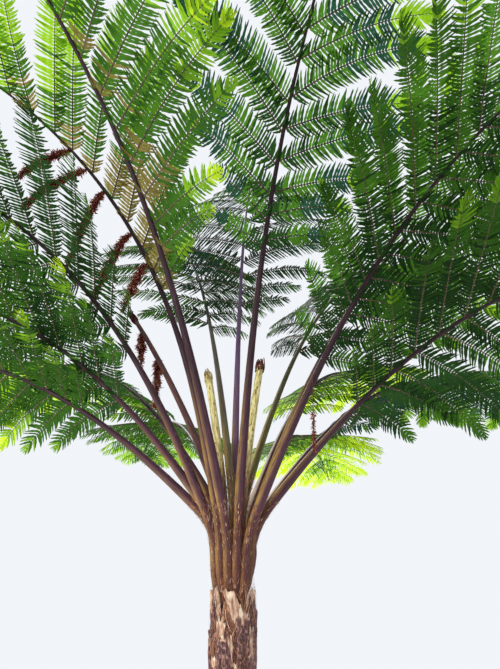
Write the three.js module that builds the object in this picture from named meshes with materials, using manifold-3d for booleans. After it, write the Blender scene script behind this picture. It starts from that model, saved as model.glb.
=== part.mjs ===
// A tree fern: one upright trunk that carries a crown of long arching fronds.
// Millimetres, +Z up. The origin is on the ground, at the middle of the trunk's foot.
// A frond is a bare stalk and, carrying on from it, a thin blade of the outline of its leaflets.
// Two stalks are broken off short, one frond is dead, and one is dead along one side.

import * as THREE from 'three';
import { mergeVertices } from 'three/addons/utils/BufferGeometryUtils.js';
import Module from 'manifold-3d';

const wasm = await Module();
wasm.setup();

// Pieces that touch keep this gap.
const GAP = 0.3;

// Trunk: height of its tip, the crown's middle beside the foot, and radii from foot to tip.
const TRUNK_TIP = 2160;
const CROWN_X = -30;
const FOOT_RADIUS = 190;
const TRUNK_RADIUS = 108;
const HEAD_RADIUS = 66;
const FLARE_HEIGHT = 300;
const SHOULDER_LOW = 1780;
const SHOULDER_HIGH = 1860;
const DOME_LOW = 2040;
const TRUNK_SIDES = 22;
const TRUNK_RINGS = 22;
const LOBES = 7;
const LOBE_DEPTH = 0.04;
const LOBE_PITCH = 260;
const TIP_BLUNT = 0.2;

// Stalk seats: an outer ring round the trunk's head and an inner ring on its dome.
const OUTER_RING = 100;
const OUTER_COUNT = 14;
const INNER_RING = 50;
const INNER_COUNT = 6;
const SHEATH = 150;
const SHEATH_INSET = 20;

// Stalk: it turns from upright to its lean over TURN, and tapers along its length.
const TURN = 340;
const ARCH_POWER = 1.8;
const STALK_RADIUS = 26;
const INNER_STALK_RADIUS = 23;
const SEAT_SHARE = 0.84;
const SHEATH_SHARE = 0.66;
const STALK_END_SHARE = 0.58;
const STUB_END_SHARE = 0.95;
const TIP_RIB = 4;
const STALK_SIDES = 8;
const STALK_STEPS = 6;
const STEP = 10;

// Blade: widest half-width, how far its sides hang, and the thickness at its edge.
const BLADE_HALF = 750;
const BLADE_START = 0.5;
const BLADE_SWELL = 0.3;
const BLADE_FULLNESS = 2.6;
const BLADE_POINT = 0.75;
const BLADE_TIP = 0.02;
const SIDE_DROP = 0.22;
const SIDE_CURVE = 1.5;
const EDGE = 2;
const BLADE_STEPS = 10;
const STEP_CROWDING = 1.25;
const BARE = 0.43;

// Dead pinnae: they hang from the rib, thin at both ends.
const DEAD_RADIUS = 32;
const DEAD_END = 0.3;
const DEAD_OUT = 0.9;
const DEAD_UNDER = 0.4;
const DEAD_SIDES = 6;
const DEAD_STEPS = 6;
const DEAD_LOOK = 0.05;

// Fronds of the outer ring, in turn about the crown from +X towards +Y.
// heading: the way it grows out. lean: how far the stalk leaves the upright.
// arch: how much further the tip leans. rise: height of its seat. roll: its turn about its rib.
// bare: the stalk's share of the length. half: half-width. right: 0 for a dead right side.
const OUTER = [
  { name: '01', heading: 345, lean: 41, arch: 68, length: 3500, rise: 2080, bare: 0.28, roll: -33, half: 760 },
  { name: '02', heading: 31, lean: 37, arch: 79, length: 3300, rise: 2080, bare: 0.29, roll: 5, half: 700 },
  { name: '03', heading: 56, lean: 29, arch: 75, length: 3300, rise: 2100, roll: 0, half: 660, bare: 0.36 },
  { name: '04', heading: 71, lean: 41, arch: 75, length: 3200, rise: 2030, half: 640, roll: -2, bare: 0.36 },
  { name: '05', heading: 112, lean: 40, arch: 70, length: 3300, rise: 2060, roll: 0, half: 650, bare: 0.36 },
  { name: '06', heading: 143, lean: 34, arch: 78, length: 3400, rise: 2140, bare: 0.28, roll: -4, half: 680 },
  { name: '07', heading: 181, lean: 46, arch: 76, length: 3300, rise: 2090, bare: 0.34, roll: 42, half: 620 },
  { name: '08', heading: 187, lean: 37, arch: 87, length: 3500, rise: 2120, bare: 0.28, roll: 35, half: 800 },
  { name: '09', heading: 204, lean: 25, arch: 84, length: 3700, rise: 2030, roll: 17, half: 830, bare: 0.34 },
  { name: '10', heading: 213, lean: 12, arch: 72, length: 3500, rise: 2040, roll: 25, half: 840, right: 0 },
  { name: '11', heading: 243, lean: 25, arch: 67, length: 3700, rise: 2020, roll: 11, half: 760, right: 0 },
  { name: '12', heading: 286, lean: 13, arch: 73, length: 3700, rise: 2040, bare: 0.45, roll: 11, half: 720 },
  { name: '13', heading: 324, lean: 28, arch: 52, length: 3700, rise: 2000, roll: -17, half: 810, bare: 0.4 },
  { name: '14', heading: 338, lean: 22, arch: 68, length: 3500, rise: 2070, bare: 0.32, roll: -33, half: 790 },
];

// Stalks of the inner ring, in turn from the seat at 30 degrees. stub and dead have no blade.
const INNER = [
  { name: '15', heading: 37, lean: 19, arch: 48, length: 3300, rise: 2200, bare: 0.4, roll: 20, half: 720 },
  { name: '16', heading: 82, lean: 3, arch: 29, length: 3500, rise: 2220, roll: 0, half: 720 },
  { name: 'left', heading: 170, lean: 7, arch: 4, length: 970, rise: 2160, stub: true },
  { name: 'dead', heading: 176, lean: 23, arch: 10, length: 1500, rise: 2180, dead: true },
  { name: '17', heading: 116, lean: 15, arch: 35, length: 3500, rise: 2200, roll: -8, half: 740 },
  { name: 'right', heading: 15, lean: 6, arch: 3, length: 1020, rise: 2160, stub: true },
];
const INNER_FIRST_SEAT = 30;

// Dead pinnae: the stalk or blade each hangs from, how far along, how far it sinks, and how far it
// swings out to the right of that rib and ahead towards its tip.
const DEAD_PINNAE = [
  { frond: '10', along: 1750, hang: 260, swing: 170 },
  { frond: '10', along: 1970, hang: 350, swing: 290 },
  { frond: '10', along: 2280, hang: 430, swing: 280 },
  { frond: '10', along: 2450, hang: 210, swing: 380, ahead: 220 },
  { frond: '10', along: 2600, hang: 170, swing: 270, ahead: 200 },
  { frond: 'dead', along: 1150, hang: 320, swing: 40 },
  { frond: 'dead', along: 1380, hang: 240, swing: 30 },
  { frond: '13', along: 1060, hang: 460, swing: 30, radius: 14 },
];

const COLOURS = {
  trunk: { color: 0x6b4433, roughness: 0.95 },
  stalk: { color: 0x4d3a33, roughness: 0.6 },
  blade: { color: 0x4f8a2c, roughness: 0.7 },
  dead: { color: 0x6e3328, roughness: 0.95 },
  stub: { color: 0xb6ad6a, roughness: 0.8 },
};

const radians = THREE.MathUtils.degToRad;
const mix = THREE.MathUtils.lerp;

// A closed solid through rings of points, each with the same even number of corners.
// Its ends are closed by strips across the ring.
function loft(rings) {
  const n = rings[0].length;
  const index = [];
  for (let i = 0; i < rings.length - 1; i++) {
    for (let j = 0; j < n; j++) {
      const a = i * n + j;
      const b = i * n + ((j + 1) % n);
      index.push(a, b, b + n, a, b + n, a + n);
    }
  }
  const last = (rings.length - 1) * n;
  for (let j = 0; j < n / 2 - 1; j++) {
    const [a, b, c, d] = [j, j + 1, n - 2 - j, n - 1 - j];
    index.push(a, c, b, a, d, c);
    index.push(last + a, last + b, last + c, last + a, last + c, last + d);
  }
  return solid(rings.flat().flatMap((p) => [p.x, p.y, p.z]), index);
}

// The geometry of a list of coordinates and triangles, turned inside out if its faces point in.
function solid(coordinates, index) {
  const corner = (k) => new THREE.Vector3().fromArray(coordinates, 3 * index[k]);
  let volume = 0;
  for (let k = 0; k < index.length; k += 3) {
    volume += corner(k).dot(corner(k + 1).cross(corner(k + 2)));
  }
  const geometry = new THREE.BufferGeometry();
  geometry.setAttribute('position', new THREE.Float32BufferAttribute(coordinates, 3));
  geometry.setIndex(volume > 0 ? index : index.toReversed());
  return geometry;
}

function toManifold(geometry) {
  const bare = geometry.clone();
  bare.deleteAttribute('normal');
  bare.deleteAttribute('uv');
  const merged = mergeVertices(bare, 1e-4);
  return new wasm.Manifold(new wasm.Mesh({
    numProp: 3,
    vertProperties: new Float32Array(merged.attributes.position.array),
    triVerts: new Uint32Array(merged.index.array),
  }));
}

function fromManifold(manifold) {
  const { vertProperties, triVerts, numProp } = manifold.getMesh();
  const geometry = new THREE.BufferGeometry();
  const position = new Float32Array((vertProperties.length / numProp) * 3);
  for (let i = 0; i < position.length / 3; i++) {
    for (let k = 0; k < 3; k++) position[3 * i + k] = vertProperties[numProp * i + k];
  }
  geometry.setAttribute('position', new THREE.BufferAttribute(position, 3));
  geometry.setIndex(new THREE.BufferAttribute(new Uint32Array(triVerts), 1));
  return geometry;
}

function carve(geometry, cutter) {
  return fromManifold(toManifold(geometry).subtract(toManifold(cutter)));
}

// The trunk's middle leans evenly from the foot to the crown.
function trunkMiddle(z) {
  return new THREE.Vector3((CROWN_X * z) / TRUNK_TIP, 0, z);
}

function trunkRadius(z) {
  const flare = (FOOT_RADIUS - TRUNK_RADIUS) * Math.exp(-z / FLARE_HEIGHT);
  const shoulder = THREE.MathUtils.smoothstep(z, SHOULDER_LOW, SHOULDER_HIGH);
  const column = mix(TRUNK_RADIUS + flare, HEAD_RADIUS, shoulder);
  const dome = Math.max(0, (z - DOME_LOW) / (TRUNK_TIP - DOME_LOW));
  return column * Math.max(TIP_BLUNT, Math.sqrt(1 - Math.min(1, dome) ** 2));
}

// The trunk's solid, or with grow the same solid that much thicker, to cut seats with.
function trunk(grow = 0) {
  const heights = [];
  for (let i = 0; i <= TRUNK_RINGS; i++) {
    const u = i / TRUNK_RINGS;
    heights.push(u < 0.5 ? mix(0, SHOULDER_LOW, 2 * u) : mix(SHOULDER_LOW, TRUNK_TIP, 2 * u - 1));
  }
  return loft(heights.map((z) => {
    const ring = [];
    const fade = THREE.MathUtils.smoothstep(z, SHOULDER_LOW - SHEATH, SHOULDER_HIGH);
    const lobes = LOBE_DEPTH * (1 - fade);
    for (let j = 0; j < TRUNK_SIDES; j++) {
      const turn = (2 * Math.PI * j) / TRUNK_SIDES;
      const radius = trunkRadius(z) * (1 + lobes * Math.cos(LOBES * turn + z / LOBE_PITCH)) + grow;
      const side = new THREE.Vector3(radius * Math.cos(turn), radius * Math.sin(turn), 0);
      ring.push(trunkMiddle(z).add(side));
    }
    if (z === TRUNK_TIP) ring.forEach((p) => { p.z += grow; });
    return ring;
  }));
}

// Where a frond's spine is, s along it from the seat, and its directions there: forward along
// the spine, side to its left, and up square to both. Under the seat it runs down the trunk.
function spine(frond, s) {
  const out = new THREE.Vector3(Math.cos(radians(frond.heading)), Math.sin(radians(frond.heading)), 0);
  const seat = new THREE.Vector3(Math.cos(radians(frond.seat)), Math.sin(radians(frond.seat)), 0);
  const point = new THREE.Vector3(CROWN_X, 0, frond.rise).addScaledVector(seat, frond.ring);
  const tilt = (d) => {
    const turned = 1 - (1 - Math.min(1, d / TURN)) ** 2;
    return radians(frond.lean) * turned + radians(frond.arch) * (d / frond.length) ** ARCH_POWER;
  };
  if (s < 0) {
    point.addScaledVector(seat, (-SHEATH_INSET * s * s) / (SHEATH * SHEATH));
    point.z += s;
  }
  for (let d = 0; d < s; d += STEP) {
    const step = Math.min(STEP, s - d);
    const angle = tilt(d + step / 2);
    point.addScaledVector(out, Math.sin(angle) * step);
    point.z += Math.cos(angle) * step;
  }
  const angle = tilt(Math.max(0, s));
  const forward = out.clone().multiplyScalar(Math.sin(angle));
  forward.z = Math.cos(angle);
  const roll = radians(frond.roll ?? 0);
  const side = new THREE.Vector3(-out.y, out.x, 0).applyAxisAngle(forward, roll);
  const up = new THREE.Vector3().crossVectors(forward, side);
  return { point, forward, side, up };
}

// Radius of the stalk and of the rib that runs on through the blade.
function ribRadius(frond, s) {
  const bare = bareLength(frond);
  const full = frond.radius;
  if (s < 0) return full * mix(SEAT_SHARE, SHEATH_SHARE, -s / SHEATH);
  if (s < TURN) return full * mix(SEAT_SHARE, 1, s / TURN);
  const end = frond.stub ? STUB_END_SHARE : STALK_END_SHARE;
  if (s <= bare) return full * mix(1, end, (s - TURN) / (bare - TURN));
  return mix(full * STALK_END_SHARE, TIP_RIB, (s - bare) / (frond.length - bare));
}

function bareLength(frond) {
  return frond.stub || frond.dead ? frond.length : frond.length * (frond.bare ?? BARE);
}

function circle(at, radius, sides) {
  const ring = [];
  for (let j = 0; j < sides; j++) {
    const turn = (2 * Math.PI * (j + 0.5)) / sides;
    ring.push(at.point.clone()
      .addScaledVector(at.side, radius * Math.cos(turn))
      .addScaledVector(at.up, radius * Math.sin(turn)));
  }
  return ring;
}

// One stalk, from its sheath against the trunk to where the blade starts.
function stalk(frond, grow = 0) {
  const bare = bareLength(frond);
  const stations = [-SHEATH, -SHEATH / 2, 0, TURN / 3, (2 * TURN) / 3, TURN];
  for (let i = 1; i <= STALK_STEPS; i++) stations.push(mix(TURN, bare, i / STALK_STEPS));
  return loft(stations.map((s) => circle(spine(frond, s), ribRadius(frond, s) + grow, STALK_SIDES)));
}

// Half the blade's width, u of the way from its start to its tip.
function bladeHalf(frond, u) {
  const swell = mix(BLADE_START, 1, THREE.MathUtils.smoothstep(u, 0, BLADE_SWELL));
  const taper = Math.max(BLADE_TIP, (1 - u ** BLADE_FULLNESS) ** BLADE_POINT);
  return (frond.half ?? BLADE_HALF) * swell * taper;
}

// One blade: thick along its rib, thin at its edges, with its sides hanging a little.
function blade(frond, grow = 0) {
  const start = bareLength(frond) + GAP;
  const rings = [];
  for (let i = 0; i <= BLADE_STEPS; i++) {
    const u = 1 - (1 - i / BLADE_STEPS) ** STEP_CROWDING;
    const s = mix(start, frond.length, u);
    const at = spine(frond, s);
    const half = bladeHalf(frond, u);
    const rib = ribRadius(frond, s) + grow;
    const row = (above) => [-1, -0.5, 0, 0.5, 1].map((across) => {
      const reach = across < 0 && frond.right === 0 ? rib : half;
      const thick = across === 0 ? rib : EDGE + grow;
      const drop = SIDE_DROP * reach * Math.abs(across) ** SIDE_CURVE;
      return at.point.clone()
        .addScaledVector(at.side, across * reach)
        .addScaledVector(at.up, -drop + (above ? thick : -thick));
    });
    rings.push([...row(true), ...row(false).reverse()]);
  }
  return loft(rings);
}

// One dead pinna: it leaves the rib level, to the right and ahead, and sinks more and more.
function deadPinna(frond, { along, hang, swing, ahead = 0, radius = DEAD_RADIUS }) {
  const at = spine(frond, along);
  const rib = ribRadius(frond, along);
  const place = (u) => {
    const point = at.point.clone()
      .addScaledVector(at.side, -DEAD_OUT * rib - swing * u)
      .addScaledVector(at.forward, ahead * u);
    point.z -= DEAD_UNDER * rib + hang * u * u;
    return point;
  };
  const rings = [];
  for (let i = 0; i <= DEAD_STEPS; i++) {
    const u = i / DEAD_STEPS;
    const path = place(u + DEAD_LOOK).sub(place(u - DEAD_LOOK)).normalize();
    const side = new THREE.Vector3().crossVectors(path, at.forward).normalize();
    const up = new THREE.Vector3().crossVectors(side, path);
    const thick = radius * mix(DEAD_END, 1, Math.sin(Math.PI * u));
    rings.push(circle({ point: place(u), side, up }, thick, DEAD_SIDES));
  }
  return loft(rings);
}

const fern = new THREE.Group();

function add(name, geometry, kind) {
  const material = new THREE.MeshStandardMaterial({ metalness: 0, ...COLOURS[kind] });
  const mesh = new THREE.Mesh(geometry, material);
  mesh.name = name;
  fern.add(mesh);
}

add('trunk', trunk(), 'trunk');
const trunkCutter = trunk(GAP);

const fronds = [
  ...OUTER.map((row, i) => ({
    ...row, ring: OUTER_RING, seat: (360 * i) / OUTER_COUNT, radius: STALK_RADIUS,
  })),
  ...INNER.map((row, i) => ({
    ...row, ring: INNER_RING, seat: INNER_FIRST_SEAT + (360 * i) / INNER_COUNT,
    radius: INNER_STALK_RADIUS,
  })),
];

for (const frond of fronds) {
  const kind = frond.stub ? 'stub' : frond.dead ? 'dead' : 'stalk';
  const name = frond.stub ? `stub_${frond.name}` : `stalk_${frond.name}`;
  add(name, carve(stalk(frond), trunkCutter), kind);
  if (!frond.stub && !frond.dead) add(`blade_${frond.name}`, blade(frond), 'blade');
}

DEAD_PINNAE.forEach((row, i) => {
  const frond = fronds.find((f) => f.name === row.frond);
  const cutter = row.along < bareLength(frond) ? stalk(frond, GAP) : blade(frond, GAP);
  add(`dead_pinna_${i + 1}`, carve(deadPinna(frond, row), cutter), 'dead');
});

export default fern;
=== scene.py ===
# A tall tree fern seen from below its crown, in metres.
# Bare stalks rise from a fibrous trunk, and each carries on as the rib of a feathery blade.
import math

import bmesh
import bpy
import numpy as np
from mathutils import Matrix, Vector, noise


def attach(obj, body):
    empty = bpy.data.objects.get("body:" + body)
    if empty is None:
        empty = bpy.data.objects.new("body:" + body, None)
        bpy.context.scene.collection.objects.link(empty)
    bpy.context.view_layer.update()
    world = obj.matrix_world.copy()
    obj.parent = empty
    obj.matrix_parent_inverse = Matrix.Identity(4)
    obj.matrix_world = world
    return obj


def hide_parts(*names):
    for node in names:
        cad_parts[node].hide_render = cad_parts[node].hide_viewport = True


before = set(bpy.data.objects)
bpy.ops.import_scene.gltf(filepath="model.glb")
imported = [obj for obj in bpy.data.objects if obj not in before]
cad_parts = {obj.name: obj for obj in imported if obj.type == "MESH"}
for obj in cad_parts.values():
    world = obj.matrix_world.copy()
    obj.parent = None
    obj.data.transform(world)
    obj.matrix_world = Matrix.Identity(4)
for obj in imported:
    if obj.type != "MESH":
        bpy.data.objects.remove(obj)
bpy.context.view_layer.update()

# Camera: where it stands, its tilt, and the picture's height as an angle.
EYE = (0.06, -3.2, 1.55)
TILT = 30
FIELD = 60
SENSOR = 36

# Floor and sky.
FLOOR_SIZE = 40
FLOOR_COLOURS = ((0.72, 0.72, 0.7), (0.76, 0.76, 0.74))
SKY_COLOUR = (0.93, 0.96, 1.0, 1)
SKY_STRENGTH = 0.95

# Trunk: height of its tip, the crown's middle beside the foot, its radii, the heights at which it
# narrows, and the lobes round it.
TRUNK_TIP = 2.16
CROWN_X = -0.03
FOOT_RADIUS = 0.19
TRUNK_RADIUS = 0.108
HEAD_RADIUS = 0.066
FLARE_HEIGHT = 0.3
SHOULDER_LOW = 1.78
SHOULDER_HIGH = 1.86
DOME_LOW = 2.04
LOBES = 7
LOBE_DEPTH = 0.04
LOBE_PITCH = 0.26
TIP_BLUNT = 0.2

# The bark mesh: its sides and cuts, its ridges and how they sway, and its lumps as pairs of scale
# and height.
BARK_SIDES = 132
BARK_CUTS = 260
BARK_RIDGES = 15
BARK_TWIST = 0.9
BARK_ROUNDNESS = 0.7
BARK_SWAY = 0.5
BARK_SWAY_UP = 2.1
BARK_SWAY_ROUND = 3
BARK_DEPTH = 0.005
BARK_LUMPS = ((16, 0.004), (48, 0.004), (130, 0.003))
LUMP_STRETCH = 0.4

# Stalks: their seats, how they turn outwards, how they taper, and their mesh.
OUTER_RING = 0.1
INNER_RING = 0.05
INNER_FIRST_SEAT = 30
SHEATH = 0.15
SHEATH_INSET = 0.02
SHEATH_SHOWN = 0.225
TURN = 0.34
ARCH_POWER = 1.8
STALK_RADIUS = 0.026
INNER_STALK_RADIUS = 0.023
SEAT_SHARE = 0.84
SHEATH_SHARE = 0.66
STALK_END_SHARE = 0.58
STUB_END_SHARE = 0.95
TIP_RIB = 0.004
STEP = 0.01
STALK_SIDES = 20
STALK_CUTS = 159
TIP_ROOM = 0.002

# Skin of the stalks: the groove above, the swelling at the seat, and lumps that fade up the foot.
GROOVE_WIDTH = 0.3
GROOVE_DEPTH = 0.13
SWELLING = 0.13
SWELLING_PLACE = -0.03
SWELLING_REACH = 0.12
SKIN_LUMPS = 0.03
FOOT_LUMPS = 0.15
FOOT_FADE = (-0.05, 0.3)
LUMP_SCALE = (45, 45, 22)

# Blades: the outline that the leaflets fill, how far its sides hang, and a stalk's share of a frond.
BLADE_START = 0.5
BLADE_SWELL = 0.3
BLADE_FULLNESS = 2.6
BLADE_POINT = 0.75
BLADE_TIP = 0.02
SIDE_DROP = 0.22
SIDE_CURVE = 1.5
BARE = 0.43

# Pinnae, the side branches of a blade: their angles to its rib, how they bend outwards, how far
# they stand past its outline, and the lowest and highest of what differs from one to the next.
PINNA_FIRST = 0.03
PINNA_LAST = 0.03
PINNA_ANGLE = 68
PINNA_ANGLE_TIP = 48
PINNA_BEND = 0.32
PINNA_STEPS = 10
PINNA_RIB = 0.0056
PINNA_RIB_TIP = 0.0014
PINNA_TOUCH = 1.55
PINNA_CROWDING = 0.35
PINNA_PROUD = 0.19
PROUD_START = (0, 0.15)
PROUD_END = (0.5, 0.85)
PINNA_SHIFTS = (0, 0.03)
PINNA_SIZES = (0.88, 1.0)
PINNA_ANGLES = (-5, 5)
PINNA_LIFTS = (-0.06, 0.06)
PINNA_BENDS = (-0.12, 0.12)
PINNA_SAGS = (0.03, 0.16)
SHORT_RIB_SHARE = 0.4

# Leaflets: their spacing along a pinna, their length on a full one, their angles to it in degrees,
# how short the first and last are, and how much they differ.
LEAFLET_GAP = 0.0178
LEAFLET_LENGTH = 0.12
PINNA_FULL = 0.78
SHORT_PINNA_POWER = 0.45
LEAFLET_WIDTH = 0.0185
LEAFLET_OVERLAP = 1.06
NARROW_SHARE = 0.3
FULL_WIDTH_LENGTH = 0.1
LEAFLET_ANGLE = 72
LEAFLET_ANGLE_TIP = 30
ANGLE_CHANGE = (0.6, 1.02)
FEWEST_PAIRS = 3
FIRST_PAIR = 0.9
LAST_ROOM = 0.4
RIB_REACH = 0.05
FIRST_SHARE = 0.7
FIRST_PART = 0.12
SHORTEST_LEAFLET = 0.015
ROW_FULLNESS = 8
ROW_TAPER = 0.7
LEAFLET_SIZES = (0.9, 1.04)
LEAFLET_HANG = 13
HANG_SPREAD = 4
DROOP_SPREAD = 5
LEAN_SPREAD = 3
ROLL_SPREAD = 9
TWIST_SPREAD = 7

# Models of a leaflet, toothed and pointed, and of a withered one: their cells, how they bend, how
# their edges lift, their outlines, and how close to a row its corners are.
LEAFLET_CELLS = 6
LEAFLET_CURVE = 0.1
LEAFLET_FALL = -0.1
LEAFLET_LIFT = -0.025
LEAFLET_NOTCH = 0.72
LEAFLET_FOOT = 0.55
LEAFLET_FOOT_END = 0.12
LEAFLET_FULLNESS = 2.6
LEAFLET_TAPER = 0.7
WITHERED_CELLS = 5
WITHERED_BEND = (1.1, -0.42)
WITHERED_LIFT = 0.09
WITHERED_END = 0.35
WITHERED_PART = (0.1, 0.95)
NARROWEST = 0.04
CLOSE = 0.01

# Fronds of the outer ring, in turn from +X towards +Y, as in the solid model.
# heading: the way it grows out. lean: how far the stalk leaves the upright.
# arch: how much further the tip leans. rise: height of its seat. bare: its share without leaflets.
# roll: how far its blade turns on its rib. half: half the blade's width. right=0: no right side.
# skin: its stalk's finish. tones: its leaf colours from the blade's inside to its tips, painted shade
# inside and painted sunlight at the tips over the leaves' own greens.
OUTER = [
    dict(name="01", heading=345, lean=41, arch=68, length=3.5, rise=2.08, bare=0.28, roll=-33, half=0.76,
         tones="deep deep mid fresh bright"),
    dict(name="02", heading=31, lean=37, arch=79, length=3.3, rise=2.08, bare=0.29, roll=5, half=0.7,
         tones="deep blue mid fresh"),
    dict(name="03", heading=56, lean=29, arch=75, length=3.3, rise=2.1, roll=0, half=0.66, bare=0.36,
         tones="mid fresh bright bright"),
    dict(name="04", heading=71, lean=41, arch=75, length=3.2, rise=2.03, half=0.64, roll=-2, bare=0.36,
         tones="mid fresh bright bright"),
    dict(name="05", heading=112, lean=40, arch=70, length=3.3, rise=2.06, roll=0, half=0.65, bare=0.36,
         tones="mid mid fresh"),
    dict(name="06", heading=143, lean=34, arch=78, length=3.4, rise=2.14, bare=0.28, roll=-4, half=0.68,
         tones="mid mid fresh bright"),
    dict(name="07", heading=181, lean=46, arch=76, length=3.3, rise=2.09, bare=0.34, roll=42, half=0.62,
         tones="mid mid fresh bright bright"),
    dict(name="08", heading=187, lean=37, arch=87, length=3.5, rise=2.12, bare=0.28, roll=35, half=0.8,
         tones="deep mid fresh bright"),
    dict(name="09", heading=204, lean=25, arch=84, length=3.7, rise=2.03, roll=17, half=0.83, bare=0.34,
         tones="deep deep mid deep"),
    dict(name="10", heading=213, lean=12, arch=72, length=3.5, rise=2.04, roll=25, half=0.84, right=0,
         tones="dying mid fresh fresh bright"),
    dict(name="11", heading=243, lean=25, arch=67, length=3.7, rise=2.02, roll=11, half=0.76, right=0,
         tones="dying mid mid fresh bright bright"),
    dict(name="12", heading=286, lean=13, arch=73, length=3.7, rise=2.04, bare=0.45, roll=11, half=0.72,
         tones="deep mid blue fresh bright"),
    dict(name="13", heading=324, lean=28, arch=52, length=3.7, rise=2.0, roll=-17, half=0.81, bare=0.4,
         tones="deep mid mid fresh"),
    dict(name="14", heading=338, lean=22, arch=68, length=3.5, rise=2.07, bare=0.32, roll=-33, half=0.79,
         skin="tan", tones="deep mid mid fresh"),
]
INNER = [
    dict(name="15", heading=37, lean=19, arch=48, length=3.3, rise=2.2, bare=0.4, roll=20, half=0.72,
         skin="olive", tones="deep blue mid"),
    dict(name="16", heading=82, lean=3, arch=29, length=3.5, rise=2.22, roll=0, half=0.72,
         skin="mauve", tones="deep blue mid"),
    dict(name="left", heading=170, lean=7, arch=4, length=0.97, rise=2.16, stub=True),
    dict(name="dead", heading=176, lean=23, arch=10, length=1.5, rise=2.18, dead=True),
    dict(name="17", heading=116, lean=15, arch=35, length=3.5, rise=2.2, roll=-8, half=0.74,
         skin="slate", tones="deep mid mid"),
    dict(name="right", heading=15, lean=6, arch=3, length=1.02, rise=2.16, stub=True),
]

# Dead pinnae: what each hangs from, how far along, how far it sinks, and how far it swings out to
# the right of that rib and ahead towards its tip. bare: its share without leaflets.
DEAD_PINNAE = [
    dict(frond="10", along=1.75, hang=0.26, swing=0.17),
    dict(frond="10", along=1.97, hang=0.35, swing=0.29),
    dict(frond="10", along=2.28, hang=0.43, swing=0.28),
    dict(frond="10", along=2.45, hang=0.21, swing=0.38, ahead=0.22),
    dict(frond="10", along=2.6, hang=0.17, swing=0.27, ahead=0.2),
    dict(frond="dead", along=1.15, hang=0.32, swing=0.04),
    dict(frond="dead", along=1.38, hang=0.24, swing=0.03),
    dict(frond="13", along=1.06, hang=0.46, swing=0.03, radius=0.014, bare=0.7),
]
DEAD_RADIUS = 0.032
DEAD_OUT = 0.9
DEAD_UNDER = 0.4
DEAD_STEPS = 16
DEAD_RIB = 0.006
DEAD_RIB_TIP = 0.0025
DEAD_RIB_SIDES = 6

# Withered leaflets: how many, how they open off their rib in degrees, how tousled they are, how
# they gather in clumps, and their sizes. clump rhythm: radians a metre.
DEAD_LEAFLETS_A_METRE = 2700
DEAD_LAST = 0.97
DEAD_REACH = 0.06
DEAD_OPENING = (0, 48)
DEAD_TOUSLE = 0.45
DEAD_TURNING = 0.6
DEAD_FALL = 0.5
DEAD_END_SHARE = 0.45
DEAD_END_POWER = 0.6
DEAD_CLUMP = 0.72
DEAD_CLUMP_RHYTHM = 95
DEAD_OFF = (0.05, 1)
DEAD_LENGTHS = (0.014, 0.03)
DEAD_WIDTHS = (0.005, 0.011)
DEAD_SHORT = 0.3
DEAD_THIN = 0.4
DEAD_ODDS = (0.3, 0.45, 0.25)

# Leaf colours, each a plain colour that many leaflets share, and the colour of light through them.
# Painted light in the greens: shaded is painted shade inside the crown, sunlit is painted sunlight at
# the tips, and mid and fresh lie between them.
TONES = {
    "bright": ((0.27, 0.42, 0.01), (0.66, 0.9, 0.03)),
    "fresh": ((0.085, 0.2, 0.01), (0.28, 0.52, 0.016)),
    "mid": ((0.024, 0.085, 0.008), (0.06, 0.17, 0.012)),
    "deep": ((0.009, 0.036, 0.007), (0.016, 0.055, 0.009)),
    "blue": ((0.011, 0.044, 0.026), (0.018, 0.07, 0.036)),
    "dying": ((0.13, 0.11, 0.03), (0.22, 0.18, 0.04)),
}
DEAD_TONES = {
    "dead_maroon": ((0.095, 0.018, 0.018), (0.12, 0.025, 0.02)),
    "dead_red": ((0.2, 0.045, 0.036), (0.26, 0.06, 0.04)),
    "dead_rust": ((0.34, 0.13, 0.075), (0.36, 0.13, 0.07)),
}
LEAF_THROUGH = 0.5
DEAD_THROUGH = 0.15

# How much a leaflet's tone goes by its place along the frond, and how far tones stray from that.
TONE_RIB = 0.42
PINNA_TONE_SPREAD = 0.4
LEAFLET_TONE_SPREAD = 0.3

# Stalk skins: colour of the foot, of the middle and of the upper part.
SKINS = {
    "purple": ((0.11, 0.038, 0.025), (0.062, 0.024, 0.04), (0.02, 0.009, 0.014)),
    "tan": ((0.14, 0.065, 0.025), (0.13, 0.07, 0.03), (0.028, 0.014, 0.013)),
    "olive": ((0.13, 0.075, 0.025), (0.095, 0.092, 0.03), (0.05, 0.046, 0.02)),
    "slate": ((0.13, 0.065, 0.025), (0.12, 0.105, 0.06), (0.09, 0.08, 0.068)),
    "mauve": ((0.12, 0.045, 0.032), (0.11, 0.055, 0.12), (0.1, 0.06, 0.125)),
}

# Marks of every stalk skin: the line down each side, the foot, and the foot's scurf and pits.
LINE_COLOUR = (0.3, 0.2, 0.1)
FOOT_COLOUR = (0.075, 0.026, 0.024)
SCURF_COLOUR = (0.2, 0.062, 0.02)
PIT_COLOUR = (0.035, 0.012, 0.01)

# Gold of the stalks' feet, painted sunlight on the side that faces the sun, its hue partly their scurf:
# its colour, the way it faces, how it starts across a stalk, and how it fades up it.
SUNLIT_GOLD = (0.34, 0.2, 0.045)
SUNNY_SIDE = (-0.92, -0.3, 0.25)
SUNLIT_GOLD_ACROSS = (0.25, 0.95)
SUNLIT_GOLD_ALONG = (0.25, 1.2)

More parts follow.
